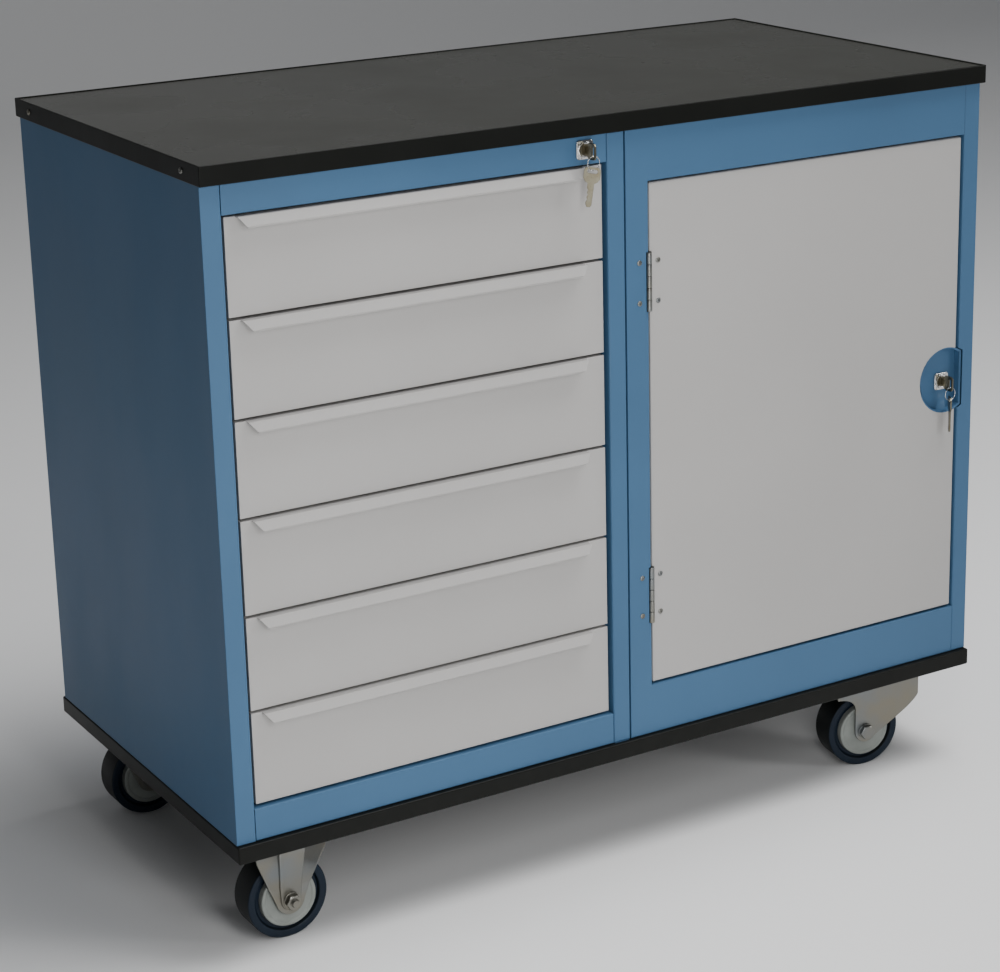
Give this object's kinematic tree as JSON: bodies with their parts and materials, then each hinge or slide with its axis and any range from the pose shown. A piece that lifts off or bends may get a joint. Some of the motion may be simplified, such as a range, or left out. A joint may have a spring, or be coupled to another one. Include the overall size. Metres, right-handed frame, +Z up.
{
  "type": "mobile workbench",
  "caption": "Steel workbench on casters: a stack of lockable drawers beside a lockable cupboard, under a flat worktop with a black edge.",
  "frame": {"origin": "on the floor, under the middle of the whole bench, keys included", "axes": "+X to the right seen from the front, +Y towards the back, +Z up"},
  "size_m": [1.05, 0.5446, 0.915],
  "materials": {
    "worktop": "dark laminate, semi-gloss",
    "black_paint": "black enamel, semi-gloss",
    "blue_paint": "steel-blue powder coat, satin",
    "grey_paint": "light grey powder coat, satin",
    "zinc": "zinc plated",
    "chrome": "polished",
    "key_metal": "nickel-plated brass",
    "tyre": "blue-black elastic rubber",
    "wheel_rim": "light grey, satin"
  },
  "bodies": {
    "root": {"worktop_edging": "black_paint", "worktop_board": "worktop", "base_tray": "black_paint", "left_side_panel": "blue_paint", "right_side_panel": "blue_paint", "back_panel": "blue_paint", "centre_divider": "blue_paint", "lock_rail": "blue_paint", "lower_rail": "blue_paint", "door_frame": "blue_paint", "shelf": "blue_paint", "left_runner_rack": "zinc", "right_runner_rack": "zinc", "upper_hinge_frame_leaf": "zinc", "lower_hinge_frame_leaf": "zinc", "drawer_lock_body": "chrome", "front_left_caster_fork": "zinc", "front_left_caster_axle_bolt": "zinc", "rear_left_caster_fork": "zinc", "rear_left_caster_axle_bolt": "zinc", "front_right_caster_top_plate": "zinc", "rear_right_caster_top_plate": "zinc"},
    "drawer_1": {"drawer_front_1": "grey_paint", "drawer_box_1": "grey_paint"},
    "drawer_2": {"drawer_front_2": "grey_paint", "drawer_box_2": "grey_paint"},
    "drawer_3": {"drawer_front_3": "grey_paint", "drawer_box_3": "grey_paint"},
    "drawer_4": {"drawer_front_4": "grey_paint", "drawer_box_4": "grey_paint"},
    "drawer_5": {"drawer_front_5": "grey_paint", "drawer_box_5": "grey_paint"},
    "drawer_6": {"drawer_front_6": "grey_paint", "drawer_box_6": "grey_paint"},
    "door": {"door_panel": "grey_paint", "door_lock_dish": "blue_paint", "upper_hinge_door_leaf": "zinc", "lower_hinge_door_leaf": "zinc", "door_lock_body": "chrome"},
    "drawer_lock_plug": {"drawer_lock_plug": "key_metal", "drawer_key": "key_metal"},
    "drawer_key_ring": {"drawer_key_ring": "chrome"},
    "drawer_spare_key": {"drawer_spare_key": "key_metal"},
    "door_lock_plug": {"door_lock_plug": "key_metal", "door_key": "key_metal"},
    "door_key_ring": {"door_key_ring": "chrome"},
    "door_spare_key": {"door_spare_key": "key_metal"},
    "lock_bar": {"lock_bar": "zinc"},
    "front_left_caster_wheel": {"front_left_caster_tyre": "tyre", "front_left_caster_rim": "wheel_rim"},
    "rear_left_caster_wheel": {"rear_left_caster_tyre": "tyre", "rear_left_caster_rim": "wheel_rim"},
    "front_right_caster_fork": {"front_right_caster_fork": "zinc", "front_right_caster_axle_bolt": "zinc"},
    "front_right_caster_wheel": {"front_right_caster_tyre": "tyre", "front_right_caster_rim": "wheel_rim"},
    "rear_right_caster_fork": {"rear_right_caster_fork": "zinc", "rear_right_caster_axle_bolt": "zinc"},
    "rear_right_caster_wheel": {"rear_right_caster_tyre": "tyre", "rear_right_caster_rim": "wheel_rim"}
  },
  "joints": [
    {"name": "drawer_1_slide", "type": "slide", "parent": "root", "child": "drawer_1", "axis": [0, -1, 0], "range_m": [0, 0.38]},
    {"name": "drawer_2_slide", "type": "slide", "parent": "root", "child": "drawer_2", "axis": [0, -1, 0], "range_m": [0, 0.38]},
    {"name": "drawer_3_slide", "type": "slide", "parent": "root", "child": "drawer_3", "axis": [0, -1, 0], "range_m": [0, 0.38]},
    {"name": "drawer_4_slide", "type": "slide", "parent": "root", "child": "drawer_4", "axis": [0, -1, 0], "range_m": [0, 0.38]},
    {"name": "drawer_5_slide", "type": "slide", "parent": "root", "child": "drawer_5", "axis": [0, -1, 0], "range_m": [0, 0.38]},
    {"name": "drawer_6_slide", "type": "slide", "parent": "root", "child": "drawer_6", "axis": [0, -1, 0], "range_m": [0, 0.38]},
    {"name": "door_hinge", "type": "hinge", "parent": "root", "child": "door", "pos_m": [0.032, -0.24593, 0.52], "axis": [0, 0, -1], "range_deg": [0, 95]},
    {"name": "drawer_lock_turn", "type": "hinge", "parent": "root", "child": "drawer_lock_plug", "pos_m": [-0.0547, -0.24932, 0.877], "axis": [0, -1, 0], "range_deg": [0, 90]},
    {"name": "drawer_key_ring_swing", "type": "hinge", "parent": "drawer_lock_plug", "child": "drawer_key_ring", "pos_m": [-0.0547, -0.26653, 0.8722], "axis": [-1, 0, 0], "range_deg": [0, 75]},
    {"name": "drawer_spare_key_hang", "type": "hinge", "parent": "drawer_key_ring", "child": "drawer_spare_key", "pos_m": [-0.0547, -0.26653, 0.8642], "axis": [0, -1, 0], "range_deg": [-90, 0]},
    {"name": "door_lock_turn", "type": "hinge", "parent": "door", "child": "door_lock_plug", "pos_m": [0.481, -0.23633, 0.516], "axis": [0, 1, 0], "range_deg": [0, 90]},
    {"name": "door_key_ring_swing", "type": "hinge", "parent": "door_lock_plug", "child": "door_key_ring", "pos_m": [0.481, -0.25353, 0.5112], "axis": [-1, 0, 0], "range_deg": [0, 75]},
    {"name": "door_spare_key_hang", "type": "hinge", "parent": "door_key_ring", "child": "door_spare_key", "pos_m": [0.481, -0.25353, 0.5032], "axis": [0, 1, 0], "range_deg": [-90, 0]},
    {"name": "lock_bar_lift", "type": "slide", "parent": "root", "child": "lock_bar", "axis": [0, 0, 1], "range_m": [0, 0.01272]},
    {"name": "front_left_caster_roll", "type": "hinge", "parent": "root", "child": "front_left_caster_wheel", "pos_m": [-0.447, -0.18973, 0.05], "axis": [0, 1, 0], "continuous": true},
    {"name": "rear_left_caster_roll", "type": "hinge", "parent": "root", "child": "rear_left_caster_wheel", "pos_m": [-0.447, 0.20827, 0.05], "axis": [0, 1, 0], "continuous": true},
    {"name": "front_right_caster_swivel", "type": "hinge", "parent": "root", "child": "front_right_caster_fork", "pos_m": [0.429, -0.18973, 0.11], "axis": [0, 0, 1], "continuous": true},
    {"name": "front_right_caster_roll", "type": "hinge", "parent": "front_right_caster_fork", "child": "front_right_caster_wheel", "pos_m": [0.39453, -0.18365, 0.05], "axis": [0.1736, 0.9848, 0], "continuous": true},
    {"name": "rear_right_caster_swivel", "type": "hinge", "parent": "root", "child": "rear_right_caster_fork", "pos_m": [0.429, 0.20827, 0.11], "axis": [0, 0, 1], "continuous": true},
    {"name": "rear_right_caster_roll", "type": "hinge", "parent": "rear_right_caster_fork", "child": "rear_right_caster_wheel", "pos_m": [0.39453, 0.21435, 0.05], "axis": [0.1736, 0.9848, 0], "continuous": true}
  ],
  "couplings": [
    {"joint": "door_spare_key_hang", "follows": "door_lock_turn", "ratio": -1},
    {"joint": "drawer_lock_turn", "follows": "lock_bar_lift", "rad_per_m": 123.41},
    {"joint": "drawer_spare_key_hang", "follows": "lock_bar_lift", "rad_per_m": -123.41}
  ]
}
